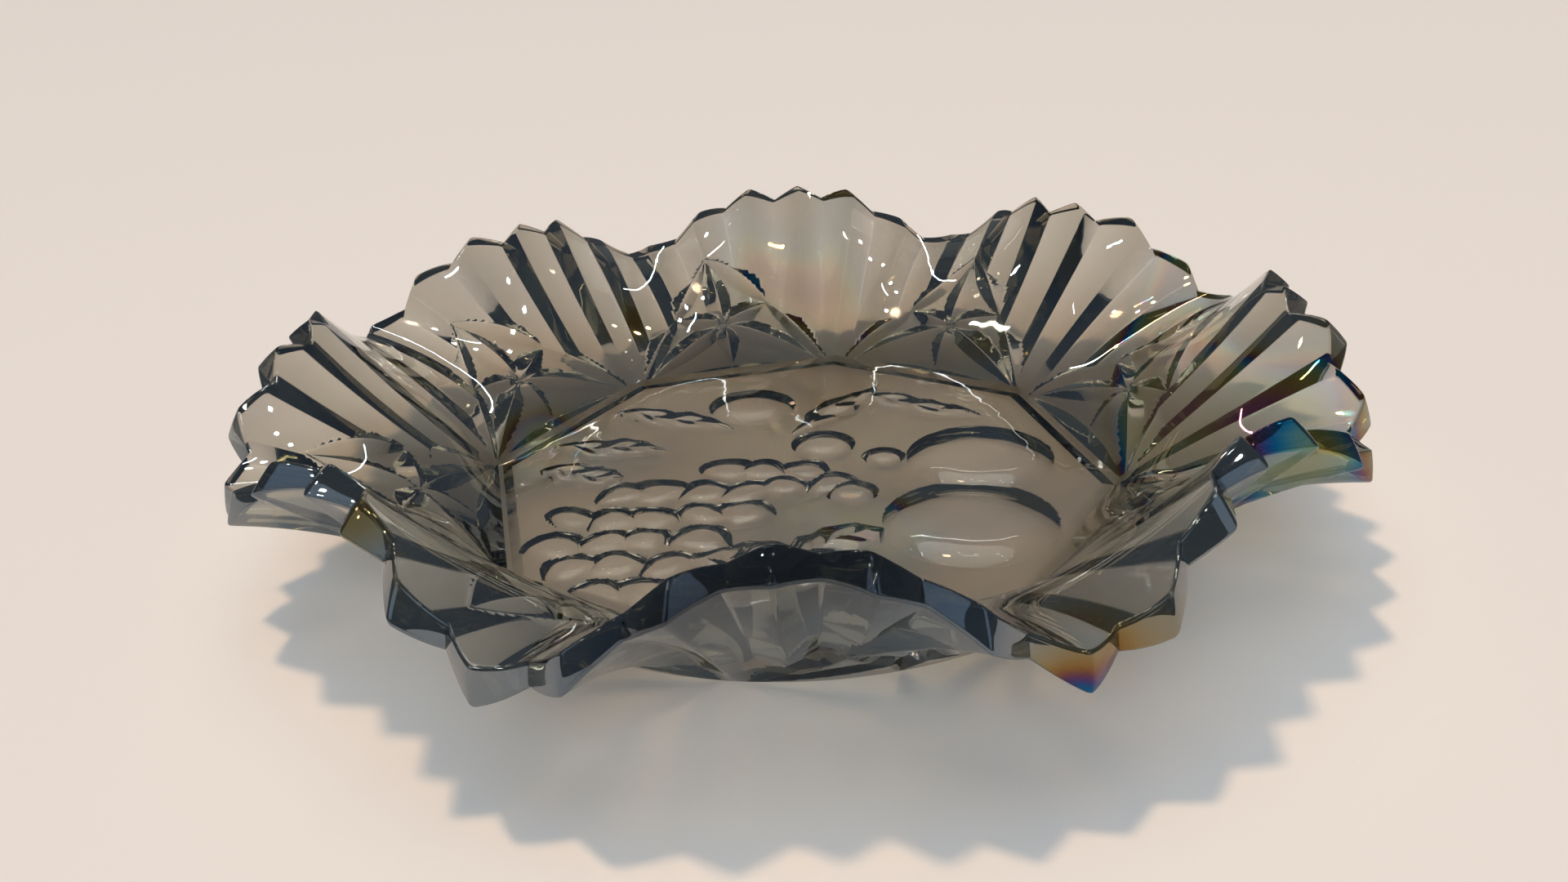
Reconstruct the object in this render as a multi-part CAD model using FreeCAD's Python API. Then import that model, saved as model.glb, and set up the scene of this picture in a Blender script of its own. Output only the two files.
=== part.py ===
import FreeCAD, Part

import math
import os

# Pressed and crimped glass bowl, in millimetres. +Z is up and the bowl stands on z = 0, with its
# axis on the Z axis. The pattern repeats eight times around the axis. The real bowl is one piece of
# glass: here it is divided along the pattern's own edges, and the solids meet face to face.

# ---- driving dimensions ----
SIDES = 8                      # sides of the floor, star panels, flute fans and crimped waves
FLUTES_PER_SIDE = 6            # flutes and rim teeth in one side's share of the wall
CORNER_AZIMUTH = 22.5          # degrees, a corner of the floor: its flat sides face the axes
CREST_AZIMUTH = 31.5           # degrees, a crest of the crimped rim: it is 9 degrees off a corner

FLOOR_CORNER_R = 84.0          # corner radius of the octagonal floor
FLOOR_T = 6.0                  # glass thickness of the floor
FOOT_R = 88.5                  # radius of the resting face's outer edge

# The inside of the wall rises from the floor's edge towards one shoulder circle, then to the rim.
SHOULDER_R = 105.3
SHOULDER_Z = FLOOR_T + 21.6

# The rim's inner edge as a wave: mean, first and second harmonic of the crimp.
RIM_R = (131.0, -7.6, -0.6)
RIM_Z = (FLOOR_T + 38.6, 10.3, -2.2)

WALL_T_VALLEY = 5.0            # wall thickness in the valley between two flute ridges
WALL_T_RIDGE = 8.2             # wall thickness at a flute ridge and in a star panel
TOOTH_H = 4.5                  # how far a tooth's tip stands past the notch beside it

# A star panel is a kite: two feet on the floor's side, two hips and a tip. Hips, tip and the star's
# centre are given as a share of the way around one side and a share of the way up the wall.
KITE_FOOT_INSET = 3.0          # gap along the floor's side between a corner and the panel's foot
KITE_HIP = (0.30, 0.36)
KITE_TIP = (0.50, 0.72)
STAR_CENTRE = (0.50, 0.26)
STAR_FOOT = 0.06               # where the star's lowest rays point, as a share of the way around
STAR_CUT_DEPTH = 2.6           # depth of the star's V cuts, in the middle of each
STAR_CUT_W = 6.0               # width of a V cut, in the middle
STAR_CUT_SPAN = (0.05, 0.88)   # where a cut starts and ends, as shares of its ray
KITE_REACH = 30.0              # how far the kite's cutting prism runs past the glass

# The underside has a shallow octagonal field, and fruit is pressed deeper into it. The fruit has its
# own axes, turned from the bowl's. Rows of grapes are (x of the row's middle, y, number of grapes),
# round fruit is (x, y, radius) and leaves are (x, y, direction in degrees, length, width).
FIELD_INSET = 1.0              # from the floor's side to the field
FIELD_SLOPE_W = 2.8            # width of the sloping edge of the field
FIELD_DEPTH = 1.0
FRUIT_TURN = -12.3
GRAPE_ROWS = ((-8, 4, 3), (-20, -8, 6), (-37, -20, 5), (-42, -33, 4), (-44, -45, 3), (-42, -56, 2))
GRAPE_PITCH = 11.2
GRAPE_R = 7.4
GRAPE_DEPTH = 2.0
ROUND_FRUIT = ((42, -31, 22), (50, 5, 20), (-12, 47, 13), (8, 18, 9), (14, -12, 7), (24, 8, 6))
FRUIT_DEPTH = 2.4
LEAVES = ((-14, -43, 5, 30, 15), (8, -38, 25, 30, 15), (-58, 6, -20, 26, 13), (-52, 22, -8, 32, 13),
          (-35, 40, -26, 38, 13), (13, 42, 50, 40, 11), (37, 42, -32, 40, 12))
LEAF_DEPTH = 1.6

PITCH = 360.0 / SIDES
STEP = PITCH / (2 * FLUTES_PER_SIDE)   # from a flute's ridge to the valley beside it
PARTS_DIR = "parts"
UP = FreeCAD.Vector(0, 0, 1)
DOWN = FreeCAD.Vector(0, 0, -1)


def at(azimuth, radius, z):
    """The point at an azimuth in degrees, a radius and a height."""
    turn = math.radians(azimuth)
    return FreeCAD.Vector(radius * math.cos(turn), radius * math.sin(turn), z)


def floor_radius(azimuth):
    """Distance from the axis to the side of the octagonal floor."""
    off_middle = (azimuth - CORNER_AZIMUTH) % PITCH - PITCH / 2
    apothem = FLOOR_CORNER_R * math.cos(math.radians(PITCH / 2))
    return apothem / math.cos(math.radians(off_middle))


def wave(azimuth, harmonics):
    """The crimp's value at an azimuth."""
    phase = math.radians(SIDES * (azimuth - CREST_AZIMUTH))
    mean, first, second = harmonics
    return mean + first * math.cos(phase) + second * math.cos(2 * phase)


def blend(start, end, share):
    """The point a share of the way from one (r, z) point to another."""
    return tuple(a + share * (b - a) for a, b in zip(start, end))


def direction(start, end):
    """Unit vector, as (r, z), from one point of a section to another."""
    dr, dz = end[0] - start[0], end[1] - start[1]
    length = math.hypot(dr, dz)
    return dr / length, dz / length


def cut_short(section, share):
    """The first share of a three-point Bezier section, as a section of its own."""
    foot, middle, end = section
    new_middle = blend(foot, middle, share)
    return foot, new_middle, blend(new_middle, blend(middle, end, share), share)


def wall_section(azimuth, thickness, notch):
    """Bezier points, as (r, z), of the inside and outside curves of the wall at an azimuth."""
    foot = (floor_radius(azimuth), FLOOR_T)
    shoulder = (SHOULDER_R, SHOULDER_Z)
    rim = (wave(azimuth, RIM_R), wave(azimuth, RIM_Z))
    end_speed = 2 * math.hypot(rim[0] - shoulder[0], rim[1] - shoulder[1])
    inside = cut_short((foot, shoulder, rim), 1 - notch / end_speed)

    up_low = direction(foot, shoulder)
    up_high = direction(shoulder, rim)
    lean = direction((0, 0), (up_low[0] + up_high[0], up_low[1] + up_high[1]))
    out_shoulder = (shoulder[0] + thickness * lean[1], shoulder[1] - thickness * lean[0])
    out_rim = (inside[2][0] + thickness * up_high[1], inside[2][1] - thickness * up_high[0])
    return inside, ((FOOT_R, 0.0), out_shoulder, out_rim)


def curve(azimuth, section):
    """A wall curve as one Bezier edge in the plane of its azimuth."""
    bezier = Part.BezierCurve()
    bezier.setPoles([at(azimuth, r, z) for r, z in section])
    return bezier.toShape()


def line(start, end):
    return Part.LineSegment(start, end).toShape()


def flat_face(points):
    return Part.Face(Part.makePolygon(list(points) + [points[0]]))


def solid_from(faces):
    """One closed solid sewn from faces that meet edge to edge."""
    shell = Part.Shell(faces)
    shell.sewShape()
    solid = Part.Solid(shell)
    if solid.Volume < 0:
        solid.reverse()
    return solid


def wall_cut(azimuth, fluted):
    """The wall cut through at an azimuth: its inside curve, its outside curve and its corners."""
    in_valley = fluted and round((azimuth - CORNER_AZIMUTH) / STEP) % 2 == 1
    thickness = WALL_T_VALLEY if in_valley else WALL_T_RIDGE
    inside, outside = wall_section(azimuth, thickness, TOOTH_H if in_valley else 0.0)
    heel = (inside[0][0], 0.0)
    corners = [at(azimuth, r, z) for r, z in (inside[2], outside[2], outside[0], heel, inside[0])]
    return curve(azimuth, inside), curve(azimuth, outside), corners


def wall_lobe(start, fluted):
    """The wall over one side's width of azimuth, either fluted and toothed or smooth outside."""
    cuts = [wall_cut(start + step * STEP, fluted) for step in range(2 * FLUTES_PER_SIDE + 1)]

    faces = []
    for here, there in zip(cuts, cuts[1:]):
        rim_in, rim_out, foot, heel, floor_edge = zip(here[2], there[2])
        faces.append(Part.makeRuledSurface(here[0], there[0]))
        faces.append(Part.makeRuledSurface(here[1], there[1]))
        faces.append(Part.makeRuledSurface(line(*rim_in), line(*rim_out)))
        faces.append(flat_face((*floor_edge, *reversed(heel))))
        faces.append(flat_face((*heel, *reversed(foot))))

    for inside, outside, (rim_in, rim_out, foot, heel, floor_edge) in (cuts[0], cuts[-1]):
        edges = [inside, line(rim_in, rim_out), outside, line(foot, heel), line(heel, floor_edge)]
        faces.append(Part.Face(Part.Wire(Part.sortEdges(edges)[0])))
    return solid_from(faces)


def wall_point(place, outside):
    """A point of the first side's smooth wall, from its shares around the side and up the wall."""
    around, up = place
    azimuth = CORNER_AZIMUTH + around * PITCH
    section = wall_section(azimuth, WALL_T_RIDGE, 0.0)[1 if outside else 0]
    return at(azimuth, *cut_short(section, up)[2])


def outward(place):
    """Unit normal of the wall's outside at a place of the first side."""
    small = 0.01
    around = wall_point((place[0] + small, place[1]), True) - wall_point(place, True)
    up = wall_point((place[0], place[1] + small), True) - wall_point(place, True)
    return around.cross(up).normalize()


def kite_prism():
    """The prism whose walls are the edges of the first side's star panel."""
    foot_share = math.degrees(math.asin(KITE_FOOT_INSET / FLOOR_CORNER_R)) / PITCH
    left = [wall_point((foot_share, 0.0), False), wall_point(KITE_HIP, False)]
    right = [wall_point((1 - foot_share, 0.0), False),
             wall_point((1 - KITE_HIP[0], KITE_HIP[1]), False)]
    middle = CORNER_AZIMUTH + PITCH / 2
    through = outward(STAR_CENTRE)
    inwards = at(middle, -1, 0)
    below = inwards - through * inwards.dot(through)
    below = below.normalize() * KITE_REACH
    outline = [left[0] + below, left[0], left[1], wall_point(KITE_TIP, False), right[1], right[0],
               right[0] + below]
    # The outline is laid in one plane across the wall, so that the prism has flat walls.
    plane_point = wall_point(STAR_CENTRE, False)
    flat = [p - through * (p - plane_point).dot(through) - through * KITE_REACH for p in outline]
    return flat_face(flat).extrude(through * 2 * KITE_REACH)


def v_cut(start, end, middle, normal, width, depth):
    """A cutter for a V cut that is deepest and widest in the middle and fades out at both ends."""
    side = (end - start).cross(normal).normalize() * (width / 2)
    bottom = middle - normal * depth
    top = middle + normal * depth
    waist = [middle + side, bottom, middle - side, top]
    faces = []
    for tip in (start, end):
        for index in range(len(waist)):
            faces.append(flat_face((tip, waist[index], waist[(index + 1) % len(waist)])))
    return solid_from(faces)


def star_panel():
    """The first side's kite panel, with its star of six V cuts in the outside."""
    panel = wall_lobe(CORNER_AZIMUTH, False).common(kite_prism())
    hip_around, hip_up = KITE_HIP
    rays = (KITE_TIP, KITE_HIP, (1 - hip_around, hip_up),
            (STAR_FOOT, 0.0), (1 - STAR_FOOT, 0.0), (0.5, 0.0))
    cutters = []
    for ray in rays:
        near, far = (blend(STAR_CENTRE, ray, share) for share in STAR_CUT_SPAN)
        middle = blend(near, far, 0.5)
        cutters.append(v_cut(wall_point(near, True), wall_point(far, True),
                             wall_point(middle, True), outward(middle),
                             STAR_CUT_W, STAR_CUT_DEPTH))
    return panel.cut(cutters)


def flute_fan():
    """The fluted and toothed wall over the first corner, between two star panels."""
    prism_after = kite_prism()
    prism_before = turned(prism_after, -1)
    return wall_lobe(CORNER_AZIMUTH - PITCH / 2, True).cut([prism_before, prism_after])


def turned(shape, sides):
    """A copy turned around the bowl's axis by a number of sides."""
    copy = shape.copy()
    copy.rotate(FreeCAD.Vector(0, 0, 0), UP, sides * PITCH)
    return copy


def dimple(x, y, radius, depth):
    """A cutter for a round, shallow form in the field."""
    ball = (radius ** 2 + depth ** 2) / (2 * depth)
    return Part.makeSphere(ball, FreeCAD.Vector(x, y, FIELD_DEPTH + depth - ball))


def grape_places():
    """Centres of the grapes, row by row."""
    for middle, y, count in GRAPE_ROWS:
        for index in range(count):
            yield middle + (index - (count - 1) / 2) * GRAPE_PITCH, y


def octagon(inset, z):
    """The floor's outline, moved inwards by an inset, at a height."""
    radius = FLOOR_CORNER_R - inset / math.cos(math.radians(PITCH / 2))
    corners = [at(CORNER_AZIMUTH + side * PITCH, radius, z) for side in range(SIDES)]
    return Part.makePolygon(corners + [corners[0]])


def floor_plate():
    """The octagonal floor, with its field and the fruit pressed into the underside."""
    plate = Part.Face(octagon(0, 0)).extrude(UP * FLOOR_T)
    field = Part.makeLoft([octagon(FIELD_INSET, 0), octagon(FIELD_INSET + FIELD_SLOPE_W, FIELD_DEPTH)],
                          True, True)
    fruit = [dimple(x, y, GRAPE_R, GRAPE_DEPTH) for x, y in grape_places()]
    fruit += [dimple(x, y, radius, FRUIT_DEPTH) for x, y, radius in ROUND_FRUIT]
    for x, y, heading, length, width in LEAVES:
        middle = FreeCAD.Vector(x, y, FIELD_DEPTH)
        half = at(heading, length / 2, 0)
        fruit.append(v_cut(middle - half, middle + half, middle, DOWN, width, LEAF_DEPTH))
    for form in fruit:
        form.rotate(FreeCAD.Vector(0, 0, 0), UP, FRUIT_TURN)
    return plate.cut([field] + fruit)


def main():
    os.makedirs(PARTS_DIR, exist_ok=True)
    nodes = {"floor_plate": floor_plate()}
    panel = star_panel()
    fan = flute_fan()
    for side in range(SIDES):
        nodes[f"star_panel_{side + 1}"] = turned(panel, side)
        nodes[f"flute_fan_{side + 1}"] = turned(fan, side)
    for name, shape in nodes.items():
        solid = shape.Solids[0]
        print(name, "solids", len(shape.Solids), "valid", shape.isValid(),
              "volume cm3", round(solid.Volume / 1000, 2))
        solid.exportStep(f"{PARTS_DIR}/{name}.step")


main()
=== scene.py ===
import math

import bpy
import numpy as np
from mathutils import Matrix, Vector
from mathutils.geometry import delaunay_2d_cdt


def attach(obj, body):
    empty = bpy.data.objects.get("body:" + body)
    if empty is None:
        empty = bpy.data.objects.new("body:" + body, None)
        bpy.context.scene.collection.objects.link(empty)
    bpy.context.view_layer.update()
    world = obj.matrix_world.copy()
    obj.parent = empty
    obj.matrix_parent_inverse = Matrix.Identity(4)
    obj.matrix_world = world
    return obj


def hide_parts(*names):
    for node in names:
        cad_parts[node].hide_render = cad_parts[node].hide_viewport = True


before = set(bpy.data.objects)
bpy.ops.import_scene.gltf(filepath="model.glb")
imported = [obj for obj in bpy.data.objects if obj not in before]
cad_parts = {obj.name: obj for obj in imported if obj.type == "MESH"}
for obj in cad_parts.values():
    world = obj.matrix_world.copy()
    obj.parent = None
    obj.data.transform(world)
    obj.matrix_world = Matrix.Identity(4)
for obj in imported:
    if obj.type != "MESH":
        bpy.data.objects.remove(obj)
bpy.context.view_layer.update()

# The looks of a pressed and crimped smoke-glass bowl, in metres, in the frame of the CAD model. The
# pattern repeats eight times around the axis. Each region of the glass is a closed mesh of its own
# that stands for the CAD node of the same name, and regions meet in clear faces that show nothing.
# Azimuths are in radians unless a comment says degrees. A share runs from 0 to 1.

MILLIMETRES = 1000                               # in a metre

# ---- dimensions shared with the CAD model ----
SIDES = 8
FLUTES_PER_SIDE = 6
PITCH = math.tau / SIDES
CORNER_AZIMUTH = PITCH / 2
CREST_AZIMUTH = math.radians(31.5)
FLOOR_CORNER_R = 0.084
FLOOR_T = 0.006
FOOT_R = 0.0885
SHOULDER = (0.1053, FLOOR_T + 0.0216)            # (radius, height)
RIM_R = (0.1310, -0.0076, -0.0006)               # mean, first and second harmonic of the crimp
RIM_Z = (FLOOR_T + 0.0386, 0.0103, -0.0022)
WALL_T = 0.0082                                  # at a flute's ridge and in a star panel
FLUTE_DEPTH = 0.0032                             # of a valley under the ridges' level
TOOTH_H = 0.0045                                 # how far a tooth's tip stands past its notch
KITE_FOOT_INSET = 0.003                          # from the floor's corner to the panel's foot
KITE_HIP = (0.30, 0.36)                          # (share around the side, share up the wall)
KITE_TIP = (0.50, 0.72)
STAR_CENTRE = (0.50, 0.26)
STAR_FOOT = 0.06                                 # where the lowest rays point, as a share of the side

FIELD_INSET = 0.0010                             # the fruit lies in a shallow octagonal field
FIELD_SLOPE_W = 0.0028                           # width of its sloping edge
FIELD_DEPTH = 0.0010
FRUIT_TURN = math.radians(-12.3)                 # the fruit's own axes are turned from the bowl's
# Rows of grapes are (x of the row's middle, y, number of grapes) and round fruit is (x, y, radius),
# in millimetres. Leaves are (x, y, direction in degrees, length, width), in millimetres too.
GRAPE_ROWS = ((-8, 4, 3), (-20, -8, 6), (-37, -20, 5), (-42, -33, 4), (-44, -45, 3), (-42, -56, 2))
GRAPE_PITCH = 11.2
GRAPE_R = 7.4
GRAPE_DEPTH = 2.0
ROUND_FRUIT = ((42, -31, 22), (50, 5, 20), (-12, 47, 13), (8, 18, 9), (14, -12, 7), (24, 8, 6))
FRUIT_DEPTH = 2.4
LEAVES = ((-14, -43, 5, 30, 15), (8, -38, 25, 30, 15), (-58, 6, -20, 26, 13), (-52, 22, -8, 32, 13),
          (-35, 40, -26, 38, 13), (13, 42, 50, 40, 11), (37, 42, -32, 40, 12))
LEAF_DEPTH = 1.6

# ---- detail that only the looks need ----
# The wall's pattern is drawn on a flat chart: x runs around the side, y runs up the wall.
CHART_W = 0.100 * PITCH                          # one side's width, at a radius between foot and rim
CHART_H = 0.060
EDGE_R = 0.0010                                  # the rim's fire-polished edges
RIM_CROWN = 0.00012                              # how far the rim's end face is bowed out
TOOTH_FADE = 0.70                                # share up the wall where the teeth begin
FLUTE_GROWTH = 6                                 # how soon a flute reaches its depth above the foot
FLUTE_THINNING = 0.08                            # share of its depth that it loses towards the rim
ROUND_SHARE = 0.08                               # of half a flute, rounding its ridge and its valley
TIP_ROUND = 0.08                                 # of half a tooth's width, rounding its tip
STAR_CUT_DEPTH = 0.0040                          # of a star's V cuts, where each is deepest
STAR_CUT_HALF_W = 0.0040
STAR_CUT_SPAN = (0.01, 0.95)                     # where a cut starts and ends along its ray
STAR_WIDEST = 0.34                               # where a star's cut is deepest, as a share of it
BORDER_CUT_DEPTH = 0.0036                        # of the V cut around the kite
BORDER_WIDEST = 0.45
CUT_FULLNESS = 0.9                               # of a cut's outline: below 1 it is rounder
CUT_SLOPE = STAR_CUT_DEPTH / STAR_CUT_HALF_W
CUT_ROUND = 0.00012                              # radius in the bottom of a V cut
ROUNDING_W = 1.2                                 # of that radius, on each side of the bottom
EDGE_STEEPNESS = 4                               # of the fruit's edges: 2 would be a plain dish
GRAPE_SCATTER = 1.7                              # millimetres that a grape may be off its row's order
GRAPE_SPREAD = 0.12                              # share by which grapes differ in size
SCATTER_SEED = 5
WOBBLE = 0.8                                     # millimetres that outlines wander
WOBBLE_RATE = 0.33                               # radians of the wandering in each millimetre
LEAF_POINT = 0.8                                 # of a leaf's tips: 0.5 would be round
LEAST_W = 0.001                                  # millimetres, so that a leaf's tips divide by something
LEAF_RIPPLE = 0.08                               # share of the width by which its outline ripples
LEAF_RIPPLES = 4
VEINS = 3                                        # on each side of a leaf
VEIN_SLANT = 0.9                                 # along the leaf for each step across it
VEIN_DEPTH = 0.5                                 # millimetres

# ---- fineness of the meshes ----
ROWS = 44                                        # of points up the wall
FLUTE_SHARES = (0.25, 0.42, 0.58, 0.75)          # of half a flute, where its slope has columns
# Heights of a fan's lowest points above the foot or the kite's border.
NEAR_GAPS = (0.0003, 0.0007, 0.0012, 0.0018, 0.0025)
CLEARANCE = 0.3                                  # of a row's gap, kept free of other points
EDGE_STEPS = 5                                   # across each rounded edge of the rim
CUT_STEPS = 22                                   # along a star's cut
BORDER_STEPS = 30                                # beside each straight of the kite's border
BORDER_SPAN = (0.02, 0.98)                       # where they start and end along it
KITE_FOOT_STEPS = 40                             # along the kite's foot
KITE_GAP = 0.0011                                # between the points on the kite's plain glass
KITE_CLEARANCE = 0.6                             # of that gap, kept free along the border
FLOOR_STEPS = 640                                # points around the floor
FLOOR_RINGS = 130


# ---------------------------------------------------------------- shape of the wall
def floor_radius(azimuth):
    """Distance from the axis to the side of the octagonal floor."""
    off_middle = (azimuth - CORNER_AZIMUTH) % PITCH - PITCH / 2
    return FLOOR_CORNER_R * math.cos(PITCH / 2) / np.cos(off_middle)


def wave(azimuth, harmonics):
    """The crimp's value at an azimuth."""
    phase = SIDES * (azimuth - CREST_AZIMUTH)
    mean, first, second = harmonics
    return mean + first * np.cos(phase) + second * np.cos(2 * phase)


def pair(r, z):
    """Radius and height side by side in the last axis."""
    return np.stack(np.broadcast_arrays(r, z), -1)


def unit(vectors):
    return vectors / np.linalg.norm(vectors, axis=-1, keepdims=True)


def turned_out(direction):
    """The direction across the wall, outwards, from the direction up the wall."""
    return np.stack([direction[..., 1], -direction[..., 0]], -1)


def bezier(poles, share):
    """Point and direction of three-point Bezier sections."""
    start, middle, end = poles
    share = share[..., None]
    point = (1 - share) ** 2 * start + 2 * share * (1 - share) * middle + share ** 2 * end
    return point, unit((1 - share) * (middle - start) + share * (end - middle))


def inside_poles(azimuth):
    """Foot, shoulder and rim of the inside curve: the shoulder is its middle pole."""
    foot = pair(floor_radius(azimuth), FLOOR_T)
    shoulder = pair(SHOULDER[0] + 0 * azimuth, SHOULDER[1])
    return foot, shoulder, pair(wave(azimuth, RIM_R), wave(azimuth, RIM_Z))


def outside_poles(azimuth):
    """The outside curve at full thickness."""
    foot, shoulder, rim = inside_poles(azimuth)
    low, high = unit(shoulder - foot), unit(rim - shoulder)
    lean = turned_out(unit(low + high))
    heel = pair(FOOT_R + 0 * azimuth, 0.0)
    return heel, shoulder + WALL_T * lean, rim + WALL_T * turned_out(high)


def to_space(azimuth, section_point):
    """The point in space of a radius and height at an azimuth."""
    r, z = section_point[..., 0], section_point[..., 1]
    return np.stack([r * np.cos(azimuth), r * np.sin(azimuth), z], -1)


def azimuth_of(chart):
    """A flute fan's middle is at x = 0, on a corner of the floor."""
    return CORNER_AZIMUTH + chart[..., 0] / CHART_W * PITCH


def off_ridge(x):
    """0 on a flute's ridge, 1 in the valley beside it."""
    flute = (x / CHART_W * FLUTES_PER_SIDE) % 1
    return 1 - np.abs(1 - 2 * flute)


def eased(w):
    """w itself from 0 to 1, with both ends rounded off level."""
    r = ROUND_SHARE
    bottom, top = w ** 2 / (2 * r), 1 - r - (1 - w) ** 2 / (2 * r)
    value = np.where(w < r, bottom, np.where(w > 1 - r, top, w - r / 2))
    return value / (1 - r)


def flute_depth(x, y):
    """How deep a flute is at a place on the chart."""
    up = y / CHART_H
    growth = 1 - (1 - up) ** FLUTE_GROWTH
    return FLUTE_DEPTH * eased(off_ridge(x)) * growth * (1 - FLUTE_THINNING * up)


def shortened(chart, poles):
    """Share up the wall, with the teeth's notches and the rim's rounding taken off near the rim."""
    w = off_ridge(chart[..., 0])
    notch = TOOTH_H * (np.hypot(w, TIP_ROUND) - TIP_ROUND) / (math.hypot(1, TIP_ROUND) - TIP_ROUND)
    up = chart[..., 1] / CHART_H
    fade = np.clip((up - TOOTH_FADE) / (1 - TOOTH_FADE), 0, 1) ** 2
    speed = 2 * np.linalg.norm(poles[2] - poles[1], axis=-1)
    return up - fade * (notch + EDGE_R) / speed


# ---------------------------------------------------------------- pattern on the chart
def on_chart(place):
    """A place on the chart from its shares around the side and up the wall."""
    return np.array([place[0] * CHART_W, place[1] * CHART_H])


FOOT_SHARE = math.asin(KITE_FOOT_INSET / FLOOR_CORNER_R) / PITCH
KITE_BORDER = (on_chart((FOOT_SHARE, 0)), on_chart(KITE_HIP), on_chart(KITE_TIP))
STAR_RAYS = (KITE_TIP, KITE_HIP, (STAR_FOOT, 0.0), (0.5, 0.0))


def folded(x):
    """Distance from the nearest corner's line: the pattern is the same on both sides of it."""
    return np.abs((x + CHART_W / 2) % CHART_W - CHART_W / 2)


def along_and_off(points, start, end):
    """Share along a segment, and distance from it."""
    line = end - start
    share = np.clip(((points - start) @ line) / (line @ line), 0, 1)
    return share, np.linalg.norm(points - (start + share[..., None] * line), axis=-1)


def cut_shape(share, widest):
    """A cut's depth along its length: nothing at both ends, 1 where it is widest."""
    rise = (share / widest) ** (2 * widest * CUT_FULLNESS)
    return rise * ((1 - share) / (1 - widest)) ** (2 * (1 - widest) * CUT_FULLNESS)


def v_profile(depth, off):
    """Depth of a V cut at a distance off its bottom."""
    return depth - CUT_SLOPE * (np.hypot(off, CUT_ROUND) - CUT_ROUND)


def star_rays():
    """Start and end of each ray's cut, on the half of the kite next to the corner."""
    centre = on_chart(STAR_CENTRE)
    for place in STAR_RAYS:
        ray = on_chart(place) - centre
        yield centre + STAR_CUT_SPAN[0] * ray, centre + STAR_CUT_SPAN[1] * ray


def border_x(y):
    """Where the kite's border is at a height on the chart, in the half next to the corner."""
    return np.interp(y, [p[1] for p in KITE_BORDER], [p[0] for p in KITE_BORDER])


def border_y(x):
    """How high the kite's border is at a place across that half."""
    return np.interp(x, [p[0] for p in KITE_BORDER], [p[1] for p in KITE_BORDER])


def border_depth(points, start, end):
    """How deep the border's own cut is at points on it."""
    share, _ = along_and_off(points, start, end)
    cut = BORDER_CUT_DEPTH * cut_shape(share, BORDER_WIDEST)
    return np.maximum(cut, flute_depth(points[..., 0], points[..., 1]))


def pattern_depth(chart):
    """How far the outside lies under the ridges' level."""
    x, y = folded(chart[..., 0]), chart[..., 1]
    points = np.stack([x, y], -1)
    in_kite = (x > border_x(y)) & (y < KITE_BORDER[2][1])
    depth = np.where(in_kite, 0, flute_depth(x, y))
    for start, end in zip(KITE_BORDER, KITE_BORDER[1:]):
        share, off = along_and_off(points, start, end)
        bottom = border_depth(start + share[..., None] * (end - start), start, end)
        depth = np.maximum(depth, v_profile(bottom, off))
    for start, end in star_rays():
        share, off = along_and_off(points, start, end)
        cut = v_profile(STAR_CUT_DEPTH * cut_shape(share, STAR_WIDEST), off)
        depth = np.maximum(depth, np.where(in_kite, cut, 0))
    return depth


def inside(chart):
    """The wall's inside surface, over the chart."""
    azimuth = azimuth_of(chart)
    poles = inside_poles(azimuth)
    return to_space(azimuth, bezier(poles, shortened(chart, poles))[0])


def outside(chart):
    """The wall's outside surface, with the whole pattern."""
    azimuth = azimuth_of(chart)
    poles = outside_poles(azimuth)
    point, up = bezier(poles, shortened(chart, poles))
    return to_space(azimuth, point - pattern_depth(chart)[..., None] * turned_out(up))


def rim(chart):
    """The rim's end face: x on the chart, and y from 0 at the inside to 1 at the outside."""
    edge = np.stack([chart[..., 0], np.full_like(chart[..., 0], CHART_H)], -1)
    azimuth = azimuth_of(edge)
    ends, corners = [], []
    for poles, depth in ((inside_poles(azimuth), np.zeros_like(azimuth)),
                         (outside_poles(azimuth), pattern_depth(edge))):
        point, up = bezier(poles, shortened(edge, poles))
        ends.append(point - depth[..., None] * turned_out(up))
        corners.append(ends[-1] + EDGE_R * up)
    across = corners[1] - corners[0]
    reach = EDGE_R / np.linalg.norm(across, axis=-1, keepdims=True)
    share = chart[..., 1][..., None]
    # The first third is the inner rounded edge, the last third is the outer one.
    first, _ = bezier((ends[0], corners[0], corners[0] + reach * across),
                      np.clip(3 * share[..., 0], 0, 1))
    last, _ = bezier((corners[1] - reach * across, corners[1], ends[1]),
                     np.clip(3 * share[..., 0] - 2, 0, 1))
    middle = reach + np.clip(3 * share - 1, 0, 1) * (1 - 2 * reach)
    _, up = bezier(inside_poles(azimuth), np.ones_like(azimuth))
    # The two ramps' product is at most a quarter.
    crown = RIM_CROWN * 4 * np.clip(3 * share - 1, 0, 1) * np.clip(2 - 3 * share, 0, 1)
    flat = corners[0] + middle * across + crown * up
    section = np.where(share < 1 / 3, first, np.where(share > 2 / 3, last, flat))
    return to_space(azimuth, section)


# ---------------------------------------------------------------- meshes
SAMPLE = 1e-7                                    # step for reading a surface's slope
RIM_STEP = (1.0, 100.0)                          # times that step, where the chart isn't in metres
FLOOR_STEP = (10.0, 10.0)
INSET = 0.03                                     # how far inside a face its corners' normals are read
SEAM_SINK = 0.00002                              # how deep a clear face is sunk in its middle
TINY = 1e-30                                     # keeps a face without area from dividing by nothing
SAME_POINT = 1e-4                                # millimetres
SAME_LEVEL = 2e-7                                # metres on the chart


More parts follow.
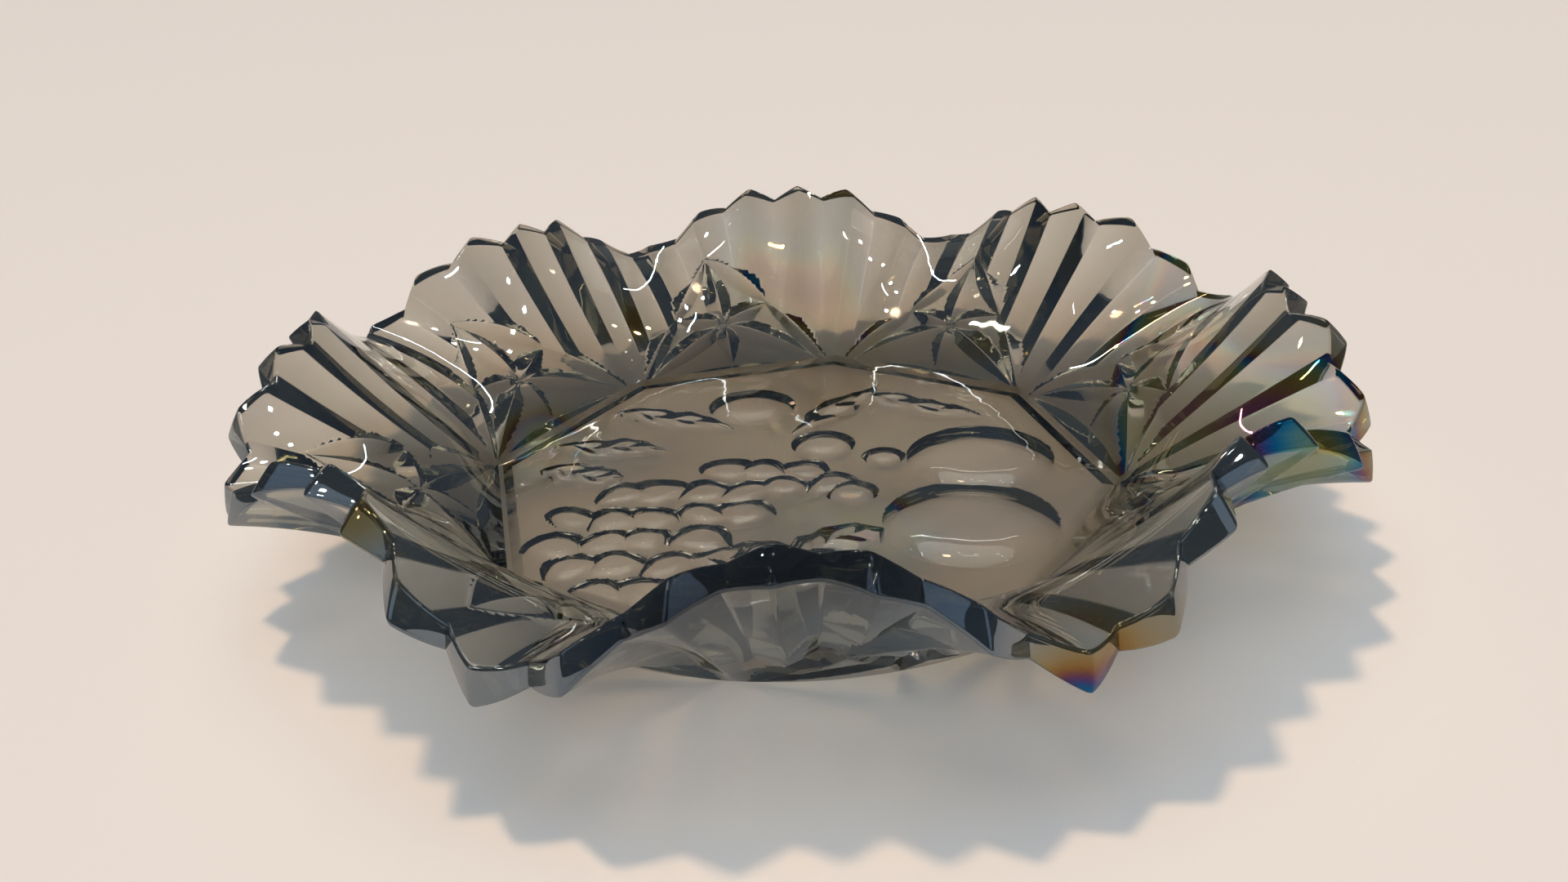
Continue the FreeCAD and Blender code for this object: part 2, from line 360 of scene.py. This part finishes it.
def surface_normals(surface, corners, centres, scale=(1.0, 1.0)):
    """Normals at face corners, each read a little inside its face, so that creases stay crisp."""
    place = corners + INSET * (centres - corners)
    steps = [np.array([SAMPLE * scale[0], 0]), np.array([0, SAMPLE * scale[1]])]
    slopes = [surface(place + step) - surface(place - step) for step in steps]
    return unit(np.cross(*slopes))


class Shell:
    """A closed mesh under construction: points, faces, their corners' normals and which are clear."""

    def __init__(self):
        self.points = []
        self.faces = []
        self.normals = []
        self.clear = []

    def add_points(self, points):
        """The new points' numbers."""
        first = len(self.points)
        self.points.extend(points)
        return np.arange(first, len(self.points))

    def add_faces(self, faces, normals=None, clear=False):
        """Faces as vertex numbers, with a normal for each corner, or flat where none are given."""
        for index, face in enumerate(faces):
            corners = np.array([self.points[v] for v in face])
            following = np.roll(corners, -1, 0)
            flat = np.cross(corners - corners[0], following - corners[0]).sum(0)
            flat = flat / max(np.linalg.norm(flat), TINY)
            given = np.tile(flat, (len(face), 1)) if normals is None else normals[index]
            side = np.sign(given @ flat)[:, None]
            self.faces.append([int(v) for v in face])
            self.normals.append(given * np.where(side == 0, 1, side))
            self.clear.append(clear)

    def add_seams(self, faces):
        """Clear faces, each sunk a little in the middle so that two regions' seams don't coincide."""
        for face in faces:
            corners = np.array([self.points[v] for v in face])
            middle = corners.mean(0)
            following = np.roll(corners, -1, 0)
            outwards = unit(np.cross(corners - middle, following - middle).sum(0))
            sunk = self.add_points([middle - SEAM_SINK * outwards])[0]
            ring = zip(face, list(face[1:]) + [face[0]])
            self.add_faces([(a, b, sunk) for a, b in ring], clear=True)

    def make(self, name, turn=0.0):
        """The object, turned around the bowl's axis."""
        rotation = np.array(Matrix.Rotation(turn, 3, "Z"))
        mesh = bpy.data.meshes.new(name)
        mesh.from_pydata((np.array(self.points) @ rotation.T).tolist(), [], self.faces)
        mesh.polygons.foreach_set("use_smooth", [True] * len(self.faces))
        mesh.normals_split_custom_set((np.concatenate(self.normals) @ rotation.T).tolist())
        mesh.materials.append(GLASS)
        solid = mesh.attributes.new("solid", "FLOAT", "FACE")
        solid.data.foreach_set("value", [0.0 if clear else 1.0 for clear in self.clear])
        piece = bpy.data.objects.new(name, mesh)
        bpy.context.scene.collection.objects.link(piece)
        return piece


def triangulated(outline, lines, points):
    """Chart points and triangles inside an outline, with mesh edges along the given lines."""
    coords, edges = [], []

    def chain(nodes, closed=False):
        first = len(coords)
        coords.extend(nodes)
        count = len(nodes)
        edges.extend((first + i, first + i + 1) for i in range(count - 1))
        if closed:
            edges.append((first + count - 1, first))

    chain(outline, closed=True)
    for nodes in lines:
        chain(nodes)
    coords.extend(points)
    # The chart is in millimetres here, because the triangulation works in single precision.
    flat = [Vector((x * MILLIMETRES, y * MILLIMETRES)) for x, y in coords]
    inside_only = 1
    result = delaunay_2d_cdt(flat, edges, [], inside_only, SAME_POINT)
    chart = np.array([(v.x, v.y) for v in result[0]]) / MILLIMETRES
    for level in (0.0, CHART_H):
        chart[np.abs(chart[:, 1] - level) < SAME_LEVEL, 1] = level
    return chart, np.array([list(face) for face in result[2]])


def wall_shell(chart, triangles):
    """The closed mesh of a wall region, from its triangles on the chart."""
    shell = Shell()
    inner = shell.add_points(inside(chart))
    outer = shell.add_points(outside(chart))
    corners = chart[triangles]
    centres = corners.mean(1, keepdims=True)
    shell.add_faces(outer[triangles], surface_normals(outside, corners, centres))
    shell.add_faces(inner[triangles][:, ::-1], surface_normals(inside, corners, centres)[:, ::-1])

    directed = {(a, b) for face in triangles.tolist() for a, b in zip(face, face[1:] + face[:1])}
    border = sorted((a, b) for a, b in directed if (b, a) not in directed)
    foot = [(a, b) for a, b in border if chart[a, 1] == 0.0 and chart[b, 1] == 0.0]
    top = [(a, b) for a, b in border if chart[a, 1] == CHART_H and chart[b, 1] == CHART_H]
    seams = [edge for edge in border if edge not in foot and edge not in top]
    shell.add_seams([(outer[b], outer[a], inner[a], inner[b]) for a, b in seams])
    close_foot(shell, chart, foot, inner, outer)
    if top:
        close_rim(shell, chart, top, inner, outer)
    return shell


def ends_of(edges):
    """First and last point of a chain of directed edges."""
    starts, stops = {a for a, _ in edges}, {b for _, b in edges}
    return (starts - stops).pop(), (stops - starts).pop()


def close_foot(shell, chart, edges, inner, outer):
    """The resting face, and the clear face towards the floor."""
    ids = sorted({v for edge in edges for v in edge})
    azimuth = azimuth_of(chart[ids])
    under_edge = to_space(azimuth, pair(floor_radius(azimuth), 0.0))
    heel = dict(zip(ids, shell.add_points(under_edge)))
    shell.add_faces([(outer[b], outer[a], heel[a], heel[b]) for a, b in edges])
    shell.add_seams([(heel[b], heel[a], inner[a], inner[b]) for a, b in edges])
    first, last = ends_of(edges)
    shell.add_seams([(outer[last], heel[last], inner[last]),
                     (inner[first], heel[first], outer[first])])


def close_rim(shell, chart, edges, inner, outer):
    """The rim's end face, with its rounded edges, and the clear faces at its two ends."""
    ids = sorted({v for edge in edges for v in edge})
    arc = [step / (3 * EDGE_STEPS) for step in range(1, EDGE_STEPS + 1)]
    shares = [0.0] + arc + [1 / 3 + share for share in arc] + [2 / 3 + share for share in arc]
    rows = [dict(zip(ids, inner[ids]))]
    for share in shares[1:-1]:
        place = np.stack([chart[ids, 0], np.full(len(ids), share)], -1)
        rows.append(dict(zip(ids, shell.add_points(rim(place)))))
    rows.append(dict(zip(ids, outer[ids])))
    for (low, row), (high, above) in zip(zip(shares, rows), zip(shares[1:], rows[1:])):
        faces, corners = [], []
        for a, b in edges:
            faces.append((above[b], above[a], row[a], row[b]))
            xa, xb = chart[a, 0], chart[b, 0]
            corners.append([(xb, high), (xa, high), (xa, low), (xb, low)])
        corners = np.array(corners)
        centres = corners.mean(1, keepdims=True)
        normals = surface_normals(rim, corners, centres, RIM_STEP)
        shell.add_faces(faces, normals)
    first, last = ends_of(edges)
    shell.add_seams([[row[last] for row in reversed(rows)], [row[first] for row in rows]])


def column_places():
    """Where mesh columns stand across one side, from corner to corner: close at the creases."""
    half = CHART_W / (2 * FLUTES_PER_SIDE)
    r = ROUND_SHARE
    shares = (0.0, r / 3, 2 * r / 3, r) + FLUTE_SHARES + (1 - r, 1 - 2 * r / 3, 1 - r / 3)
    columns = [half * (index + share) for index in range(2 * FLUTES_PER_SIDE) for share in shares]
    return columns + [CHART_W]


def border_nodes():
    """Mesh points on the kite's border next to the corner, from its foot to its tip."""
    foot, hip, tip = KITE_BORDER
    xs = sorted({x for x in column_places() if foot[0] < x < tip[0]} | {foot[0], hip[0], tip[0]})
    return list(zip(xs, border_y(xs)))


def fan_chart():
    """Chart of a flute fan: it stands on a corner, between two kites."""
    half = CHART_W / 2
    columns = [x - half for x in column_places()]
    rows = [CHART_H * row / ROWS for row in range(1, ROWS)]
    row_gap = CHART_H / ROWS
    side = border_nodes()
    tip_y = KITE_BORDER[2][1]
    edge_rows = [(half, y) for y in rows if y > tip_y + CLEARANCE * row_gap]
    foot = [(x, 0.0) for x in columns if abs(x) < KITE_BORDER[0][0]]
    top = [(x, CHART_H) for x in reversed(columns)]
    outline = foot + side + edge_rows + top
    outline += [(-x, y) for x, y in reversed(edge_rows)] + [(-x, y) for x, y in reversed(side)]
    lines = []
    for x in columns[1:-1]:
        start = max(0.0, float(border_y(abs(x))))
        near = [start + gap for gap in NEAR_GAPS]
        above = [y for y in rows if y > near[-1] + CLEARANCE * row_gap]
        lines.append([(x, y) for y in [start] + near + above + [CHART_H]])
    return triangulated(outline, lines, [])


def ray_lines(start, end):
    """Mesh lines of a star's cut: its bottom, the rounding beside it and its two outlines."""
    along = end - start
    side = np.array([-along[1], along[0]]) / np.linalg.norm(along)
    shares = (1 - np.cos(np.linspace(0, math.pi, CUT_STEPS + 1))) / 2
    outline = STAR_CUT_HALF_W * cut_shape(shares, STAR_WIDEST)
    rounding = np.minimum(ROUNDING_W * CUT_ROUND, outline)
    for widths in (0 * shares, outline, -outline, rounding, -rounding):
        yield [tuple(start + share * along + width * side) for share, width in zip(shares, widths)]


def kite_chart():
    """Chart of a star panel."""
    left = border_nodes()
    mirrored = [(CHART_W - x, y) for x, y in left]
    foot_x = KITE_BORDER[0][0]
    foot = [(foot_x + (CHART_W - 2 * foot_x) * step / KITE_FOOT_STEPS, 0.0)
            for step in range(1, KITE_FOOT_STEPS)]
    outline = foot + mirrored + left[-2::-1]
    lines = []
    for start, end in star_rays():
        for nodes in ray_lines(start, end):
            lines.append(nodes)
            on_axis = abs(end[0] - CHART_W / 2) < SAME_LEVEL
            if not on_axis:
                lines.append([(CHART_W - x, y) for x, y in nodes])
    for start, end in zip(KITE_BORDER, KITE_BORDER[1:]):
        along = end - start
        side = np.array([along[1], -along[0]]) / np.linalg.norm(along)
        shares = np.linspace(*BORDER_SPAN, BORDER_STEPS)
        on_border = start + shares[:, None] * along
        reach = border_depth(on_border, start, end) / CUT_SLOPE
        nodes = [tuple(p + w * side) for p, w in zip(on_border, reach)]
        lines += [nodes, [(CHART_W - x, y) for x, y in nodes]]
    points = []
    tip_y = KITE_BORDER[2][1]
    for row in range(1, int(tip_y / KITE_GAP)):
        y = row * KITE_GAP
        low = float(border_x(y)) + KITE_CLEARANCE * KITE_GAP
        for index in range(int((CHART_W - 2 * low) / KITE_GAP) + 1):
            points.append((low + index * KITE_GAP, y))
    return triangulated(outline, lines, points)


# ---------------------------------------------------------------- floor with its fruit
def along_and_across(x, y, heading):
    """A place's distances along and across a heading."""
    turn = math.radians(heading)
    return x * math.cos(turn) + y * math.sin(turn), y * math.cos(turn) - x * math.sin(turn)


def dish(x, y, radius, depth):
    """A round form with steep edges and a gently rounded top."""
    share = np.clip(np.hypot(x, y) / radius, 0, 1)
    return depth * (1 - share ** EDGE_STEEPNESS)


def fruit_leaf(x, y, heading, length, width):
    """A pointed leaf with a wavy outline and with veins that slant off its middle."""
    along, across = along_and_across(x, y, heading)
    half = width / 2 * np.clip(1 - (2 * along / length) ** 2, 0, 1) ** LEAF_POINT
    half = half * (1 + LEAF_RIPPLE * np.sin(along / length * math.tau * LEAF_RIPPLES))
    share = np.clip(np.abs(across) / np.maximum(half, LEAST_W), 0, 1)
    veins = np.cos((along - VEIN_SLANT * np.abs(across)) / length * math.tau * VEINS)
    vein_height = VEIN_DEPTH * veins * (1 - share ** 2) * (share > 0)
    return LEAF_DEPTH * (1 - share ** EDGE_STEEPNESS) + vein_height


def fruit(x, y):
    """How deep the fruit is pressed into the field, all in millimetres."""
    scatter = np.random.default_rng(SCATTER_SEED)
    forms = [dish(x - a, y - b, radius, FRUIT_DEPTH) for a, b, radius in ROUND_FRUIT]
    # The outlines of the grapes and leaves wander a little.
    x, y = x + WOBBLE * np.sin(WOBBLE_RATE * y), y + WOBBLE * np.sin(WOBBLE_RATE * x + 1)
    for middle, row_y, count in GRAPE_ROWS:
        for index in range(count):
            a, b, size = scatter.uniform(-1, 1, 3)
            place = middle + (index - (count - 1) / 2) * GRAPE_PITCH + GRAPE_SCATTER * a
            radius = GRAPE_R * (1 + GRAPE_SPREAD * size)
            forms.append(dish(x - place, y - row_y - GRAPE_SCATTER * b, radius, GRAPE_DEPTH))
    for a, b, heading, length, width in LEAVES:
        forms.append(fruit_leaf(x - a, y - b, heading, length, width))
    return np.maximum.reduce(forms)


def relief(x, y, inset):
    """Height of the underside over the resting plane, inset from the floor's side."""
    field = np.clip((inset - FIELD_INSET) / FIELD_SLOPE_W, 0, 1)
    along, across = along_and_across(x * MILLIMETRES, y * MILLIMETRES, math.degrees(FRUIT_TURN))
    return FIELD_DEPTH * field + fruit(along, across) / MILLIMETRES * field


def underside(chart):
    """The floor's underside from (azimuth, share of the way out)."""
    azimuth, share = chart[..., 0], chart[..., 1]
    radius = floor_radius(azimuth) * share
    x, y = radius * np.cos(azimuth), radius * np.sin(azimuth)
    inset = (1 - share) * FLOOR_CORNER_R * math.cos(PITCH / 2)
    return np.stack([x, y, relief(x, y, inset)], -1)


def floor_shell():
    """The octagonal floor."""
    shell = Shell()
    azimuths = CORNER_AZIMUTH + np.arange(FLOOR_STEPS) * math.tau / FLOOR_STEPS
    shares = np.arange(1, FLOOR_RINGS + 1) / FLOOR_RINGS
    grid = np.stack(np.meshgrid(azimuths, shares), -1)
    low = shell.add_points(underside(grid).reshape(-1, 3)).reshape(grid.shape[:2])
    centre = shell.add_points(underside(np.array([[0.0, 0.0]])))[0]
    edge = to_space(azimuths, pair(floor_radius(azimuths), FLOOR_T))
    top = shell.add_points(edge)

    faces, corners = [], []
    for ring in range(FLOOR_RINGS - 1):
        for step in range(FLOOR_STEPS):
            after = (step + 1) % FLOOR_STEPS
            near, far = low[ring], low[ring + 1]
            faces.append((near[step], near[after], far[after], far[step]))
            a, b = azimuths[step], azimuths[step] + math.tau / FLOOR_STEPS
            start, end = shares[ring], shares[ring + 1]
            corners.append([(a, start), (b, start), (b, end), (a, end)])
    corners = np.array(corners)
    centres = corners.mean(1, keepdims=True)
    shell.add_faces(faces, surface_normals(underside, corners, centres, FLOOR_STEP))
    around = [(step, (step + 1) % FLOOR_STEPS) for step in range(FLOOR_STEPS)]
    shell.add_faces([(centre, low[0, b], low[0, a]) for a, b in around])
    shell.add_seams([(top[a], low[-1, a], low[-1, b], top[b]) for a, b in around])
    shell.add_faces([top])
    return shell


# ---------------------------------------------------------------- materials
GLASS_IOR = 1.52
SMOKE = (0.45, 0.43, 0.30, 1)                    # the glass takes the rest of the colour away
SMOKE_DENSITY = 125.0                            # in each metre of glass
FILM_IOR = 2.1
FILM_NM = 450.0                                  # thickness where the curve below reads 1
# How the film's thickness follows its noise: thin nearly everywhere, and thick in a few patches.
FILM_ENDS = ((0.0, 0.085), (1.0, 0.75))
FILM_BENDS = ((0.54, 0.105), (0.62, 0.19), (0.70, 0.48))


def noise(nodes, links, place, scale, detail):
    """A noise texture in the object's own space."""
    texture = nodes.new("ShaderNodeTexNoise")
    texture.inputs["Scale"].default_value = scale
    texture.inputs["Detail"].default_value = detail
    links.new(place.outputs["Object"], texture.inputs["Vector"])
    return texture


def smoke_glass():
    """Smoke-grey glass under a thin silvery-blue film."""
    material = bpy.data.materials.new("smoke_glass")
    material.use_nodes = True
    nodes, links = material.node_tree.nodes, material.node_tree.links
    shader = nodes["Principled BSDF"]
    shader.inputs["Base Color"].default_value = (1, 1, 1, 1)
    shader.inputs["Transmission Weight"].default_value = 1.0
    shader.inputs["IOR"].default_value = GLASS_IOR
    shader.inputs["Thin Film IOR"].default_value = FILM_IOR

    # The faces where two regions meet inside the glass show nothing.
    solid = nodes.new("ShaderNodeAttribute")
    solid.attribute_name = "solid"
    links.new(solid.outputs["Fac"], shader.inputs["Alpha"])
    smoke = nodes.new("ShaderNodeVolumeAbsorption")
    smoke.inputs["Color"].default_value = SMOKE
    smoke.inputs["Density"].default_value = SMOKE_DENSITY
    links.new(smoke.outputs["Volume"], nodes["Material Output"].inputs["Volume"])

    place = nodes.new("ShaderNodeTexCoord")
    film = noise(nodes, links, place, scale=14.0, detail=1.0)
    thickness = nodes.new("ShaderNodeFloatCurve")
    curve = thickness.mapping.curves[0]
    for point, location in zip(curve.points, FILM_ENDS):
        point.location = location
    for value, result in FILM_BENDS:
        curve.points.new(value, result)
    thickness.mapping.update()
    links.new(film.outputs["Fac"], thickness.inputs["Value"])
    nanometres = nodes.new("ShaderNodeMath")
    nanometres.operation = "MULTIPLY"
    nanometres.inputs[1].default_value = FILM_NM
    links.new(thickness.outputs["Value"], nanometres.inputs[0])
    links.new(nanometres.outputs["Value"], shader.inputs["Thin Film Thickness"])

    # Faint smears in the gloss.
    smear = noise(nodes, links, place, scale=60.0, detail=4.0)
    gloss = nodes.new("ShaderNodeMapRange")
    gloss.inputs["To Min"].default_value = 0.0
    gloss.inputs["To Max"].default_value = 0.05
    links.new(smear.outputs["Fac"], gloss.inputs["Value"])
    links.new(gloss.outputs["Result"], shader.inputs["Roughness"])

    # The soft waviness of pressed glass.
    waviness = noise(nodes, links, place, scale=90.0, detail=1.0)
    bump = nodes.new("ShaderNodeBump")
    bump.inputs["Strength"].default_value = 0.25
    bump.inputs["Distance"].default_value = 0.0004
    links.new(waviness.outputs["Fac"], bump.inputs["Height"])
    links.new(bump.outputs["Normal"], shader.inputs["Normal"])
    return material


GLASS = smoke_glass()


# ---------------------------------------------------------------- the bowl
def place_piece(shell, node, turn=0.0):
    """A region of the glass in the place of its CAD node."""
    piece = shell.make(f"glass_{node}", turn)
    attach(piece, "root")
    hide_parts(node)


place_piece(floor_shell(), "floor_plate")
FAN = wall_shell(*fan_chart())
PANEL = wall_shell(*kite_chart())
for side in range(SIDES):
    place_piece(FAN, f"flute_fan_{side + 1}", side * PITCH)
    place_piece(PANEL, f"star_panel_{side + 1}", side * PITCH)


# ---------------------------------------------------------------- stage, light and camera
def pale_floor():
    """A wide pale table, a hair under the bowl's foot."""
    mesh = bpy.data.meshes.new("pale_floor")
    half, level = 6.0, -0.0002
    corners = [(-half, -half, level), (half, -half, level), (half, half, level), (-half, half, level)]
    mesh.from_pydata(corners, [], [(0, 1, 2, 3)])
    floor = bpy.data.objects.new("pale_floor", mesh)
    bpy.context.scene.collection.objects.link(floor)
    material = bpy.data.materials.new("pale_floor")
    material.use_nodes = True
    shader = material.node_tree.nodes["Principled BSDF"]
    shader.inputs["Base Color"].default_value = (0.80, 0.79, 0.78, 1)
    shader.inputs["Roughness"].default_value = 0.6
    shader.inputs["Specular IOR Level"].default_value = 0.2
    mesh.materials.append(material)


def towards(azimuth, elevation):
    """A direction from the bowl, from an azimuth and an elevation in degrees."""
    a, e = math.radians(azimuth), math.radians(elevation)
    return Vector((math.cos(a) * math.cos(e), math.sin(a) * math.cos(e), math.sin(e)))


def lamp(name, azimuth, elevation, distance, size, power, colour):
    """A rectangular lamp that looks at the bowl and doesn't light the table."""
    data = bpy.data.lights.new(name, "AREA")
    data.shape = "RECTANGLE"
    data.size, data.size_y = size
    data.energy = power
    data.color = colour
    source = bpy.data.objects.new(name, data)
    source.location = distance * towards(azimuth, elevation)
    source.rotation_euler = towards(azimuth, elevation).to_track_quat("Z", "Y").to_euler()
    source.visible_diffuse = False
    bpy.context.scene.collection.objects.link(source)
    return source


def sun(name, azimuth, elevation, spread, strength, colour):
    """A far light, some degrees across, that lights the table evenly and isn't mirrored."""
    data = bpy.data.lights.new(name, "SUN")
    data.angle = math.radians(spread)
    data.energy = strength
    data.color = colour
    source = bpy.data.objects.new(name, data)
    source.rotation_euler = towards(azimuth, elevation).to_track_quat("Z", "Y").to_euler()
    source.visible_glossy = False
    bpy.context.scene.collection.objects.link(source)
    return source


def camera():
    """The camera stands low in front of the bowl and looks down across it."""
    position = Vector((-0.0688, -0.3024, 0.1572))
    heading, pitch, roll = math.radians(77.72), math.radians(24.753), math.radians(-2.872)
    ahead = Vector((math.cos(heading) * math.cos(pitch),
                    math.sin(heading) * math.cos(pitch),
                    -math.sin(pitch)))
    right = Vector((math.sin(heading), -math.cos(heading), 0))
    up = right.cross(ahead)
    level_right = math.cos(roll) * right + math.sin(roll) * up
    level_up = math.cos(roll) * up - math.sin(roll) * right
    data = bpy.data.cameras.new("camera")
    data.lens = 29.61
    data.sensor_width = 36
    data.clip_start = 0.01
    view = bpy.data.objects.new("camera", data)
    view.matrix_world = Matrix((
        (level_right.x, level_up.x, -ahead.x, position.x),
        (level_right.y, level_up.y, -ahead.y, position.y),
        (level_right.z, level_up.z, -ahead.z, position.z),
        (0, 0, 0, 1)))
    bpy.context.scene.collection.objects.link(view)
    bpy.context.scene.camera = view


def world_light(colour, strength):
    """A dim even light from all around."""
    world = bpy.data.worlds.new("world")
    world.use_nodes = True
    world.node_tree.nodes["Background"].inputs["Color"].default_value = (*colour, 1)
    world.node_tree.nodes["Background"].inputs["Strength"].default_value = strength
    bpy.context.scene.world = world


WARM = (1.0, 0.66, 0.39)
CREAM = (1.0, 0.97, 0.93)
WHITE = (1.0, 0.97, 0.92)
YELLOW = (1.0, 0.90, 0.74)
PALE_BLUE = (0.72, 0.84, 1.0)
BLUE = (0.60, 0.80, 1.0)
SKY = (0.80, 0.90, 1.0)
LAMP_DISTANCE = 1.5
SPOTS = 16
SPOT_TURN = 137.5                                # degrees from one to the next, so that they scatter
SPOT_LOWEST = 44                                 # degrees of elevation
SPOT_RANGE = 32
SPOT_RISE = 0.37                                 # of that range, from one to the next


def table_light():
    """The suns light the table, and the bowl's surface doesn't mirror them."""
    sun("main_light", azimuth=118, elevation=72, spread=5, strength=1.47, colour=WARM)
    sun("sky_light", azimuth=90, elevation=80, spread=60, strength=1.10, colour=CREAM)
    # A cool light from the front fills the bowl's shadow.
    fill = sun("front_fill", azimuth=-110, elevation=35, spread=40, strength=1.1, colour=BLUE)
    fill.visible_transmission = False


def room_light():
    """The room's bright sides, mirrored in the rim, stand left and right of the camera."""
    for side, azimuth in (("left", -145), ("right", -60)):
        card = lamp(f"room_{side}", azimuth, 32, 2.0, size=(1.3, 1.6), power=2.6, colour=PALE_BLUE)
        card.visible_transmission = False


def glint_lights():
    """Thin tubes and small spots that only make the glints."""
    for name, azimuth, elevation in (("left", 150, 58), ("behind", 62, 76), ("front", -120, 70)):
        lamp(f"tube_{name}", azimuth, elevation, LAMP_DISTANCE, (0.22, 0.012), power=0.18, colour=WHITE)
    # A long tube behind the bowl draws bright lines on the panels and along the rim's edges.
    lamp("tube_long", 77, 45, LAMP_DISTANCE, (1.3, 0.014), power=1.4, colour=WHITE)
    for index in range(SPOTS):
        azimuth = 90 + index * SPOT_TURN
        elevation = SPOT_LOWEST + SPOT_RANGE * (index * SPOT_RISE % 1)
        lamp(f"spot_{index}", azimuth, elevation, LAMP_DISTANCE, (0.035, 0.035), power=0.3, colour=YELLOW)


pale_floor()
table_light()
room_light()
glint_lights()
world_light(SKY, 0.14)
camera()
bpy.context.scene.view_settings.view_transform = "Standard"
# Light crosses many faces of the pattern before it leaves the glass.
light_paths = bpy.context.scene.cycles
light_paths.max_bounces = 24
light_paths.transmission_bounces = 24
light_paths.glossy_bounces = 12
light_paths.transparent_max_bounces = 32
